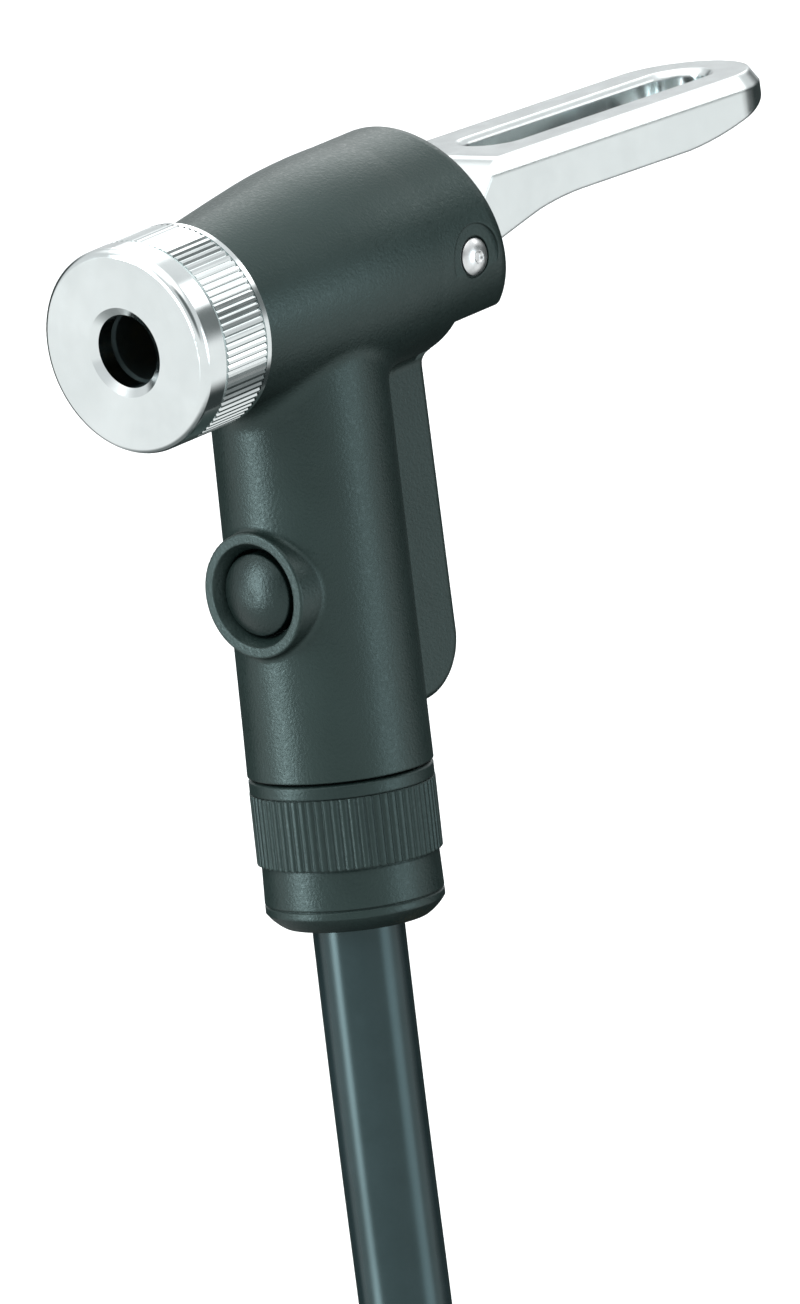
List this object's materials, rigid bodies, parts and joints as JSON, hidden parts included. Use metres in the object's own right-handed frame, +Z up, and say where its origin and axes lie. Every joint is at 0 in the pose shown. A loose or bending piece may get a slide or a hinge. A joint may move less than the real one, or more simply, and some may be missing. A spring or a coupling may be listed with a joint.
{
  "type": "portable tire inflator",
  "caption": "Lever-lock inflator head: chrome screw cap, chrome lever, black grip with bleed button, and its air hose coiled below, ending in a swivel nut.",
  "frame": {"origin": "on the valve port's axis, just inside the chamfer at its mouth", "axes": "+X to the rear, the way the locked lever points; +Z up along the grip; Y across, and the head is symmetric about Y=0. The barrel's axis rises 4.65 degrees from X to the rear."},
  "size_m": [0.125, 0.0387, 0.307],
  "materials": {
    "housing_plastic": "matte black moulding with a faint grain",
    "nut_plastic": "matte black, knurled",
    "lever_chrome": "bright plated casting",
    "cap_chrome": "bright plated, knurled",
    "pin_steel": "satin steel",
    "spring_steel": "drawn wire",
    "seal_rubber": "smooth black rubber",
    "hose_rubber": "satin black rubber",
    "button_plastic": "satin black",
    "inner_brass": "turned brass",
    "inner_plastic": "natural acetal",
    "ferrule_steel": "zinc-plated, crimped",
    "tie_fabric": "woven hook-and-loop strap"
  },
  "bodies": {
    "housing": {"housing": "housing_plastic", "lever_pin": "pin_steel", "valve_seal": "seal_rubber", "bleed_seat": "inner_brass", "bleed_spring": "spring_steel", "hose_barb": "inner_brass", "barb_o_ring": "seal_rubber", "clamp_sleeve": "inner_plastic", "hose": "hose_rubber", "hose_coil": "hose_rubber", "hose_tail": "hose_rubber", "hose_tie": "tie_fabric", "end_ferrule": "ferrule_steel", "end_nipple": "inner_brass", "end_washer": "seal_rubber"},
    "lever": {"lever": "lever_chrome"},
    "plunger": {"plunger": "inner_brass", "plunger_front_o_ring": "seal_rubber", "plunger_rear_o_ring": "seal_rubber", "seal_washer": "inner_brass", "valve_depressor": "inner_brass", "cam_shoe": "pin_steel", "return_spring": "spring_steel"},
    "bleed_button": {"bleed_button": "button_plastic", "bleed_stem": "inner_brass", "bleed_o_ring": "seal_rubber"},
    "cap_ring": {"cap_glide_ring": "inner_plastic"},
    "cap": {"valve_cap": "cap_chrome"},
    "nut_ring": {"nut_slip_ring": "inner_plastic"},
    "nut": {"union_nut": "nut_plastic"},
    "hose_nut": {"end_nut": "inner_brass"}
  },
  "joints": [
    {"name": "lever_pivot", "type": "hinge", "parent": "housing", "child": "lever", "pos_m": [0.0427, 0, 0.00205], "axis": [0, 1, 0], "range_deg": [0, 90.1]},
    {"name": "plunger_slide", "type": "slide", "parent": "housing", "child": "plunger", "axis": [0.9967, 0, 0.0811], "range_m": [0, 0.00235], "deforming": ["return_spring"]},
    {"name": "bleed_press", "type": "slide", "parent": "housing", "child": "bleed_button", "axis": [1, 0, 0], "range_m": [0, 0.0017], "stiffness_N_per_m": 600, "springref_m": -0.001, "deforming": ["bleed_spring"]},
    {"name": "cap_slide", "type": "slide", "parent": "housing", "child": "cap_ring", "axis": [-0.9967, 0, -0.0811], "range_m": [0, 0.008]},
    {"name": "cap_turn", "type": "hinge", "parent": "cap_ring", "child": "cap", "pos_m": [-0.0006, 0, -0.00005], "axis": [0.9967, 0, 0.0811], "range_deg": [0, 1802]},
    {"name": "nut_slide", "type": "slide", "parent": "housing", "child": "nut_ring", "axis": [0, 0, -1], "range_m": [0, 0.008]},
    {"name": "nut_turn", "type": "hinge", "parent": "nut_ring", "child": "nut", "pos_m": [0.0259, 0, -0.05505], "axis": [0, 0, -1], "range_deg": [0, 1802]},
    {"name": "hose_nut_spin", "type": "hinge", "parent": "housing", "child": "hose_nut", "pos_m": [0.1154, 0.0125, -0.17605], "axis": [0, 0, 1], "continuous": true}
  ],
  "couplings": [
    {"joint": "lever_pivot", "follows": "plunger_slide", "rad_per_m": 666.67},
    {"joint": "cap_turn", "follows": "cap_slide", "rad_per_m": 3927},
    {"joint": "nut_turn", "follows": "nut_slide", "rad_per_m": 3927}
  ]
}
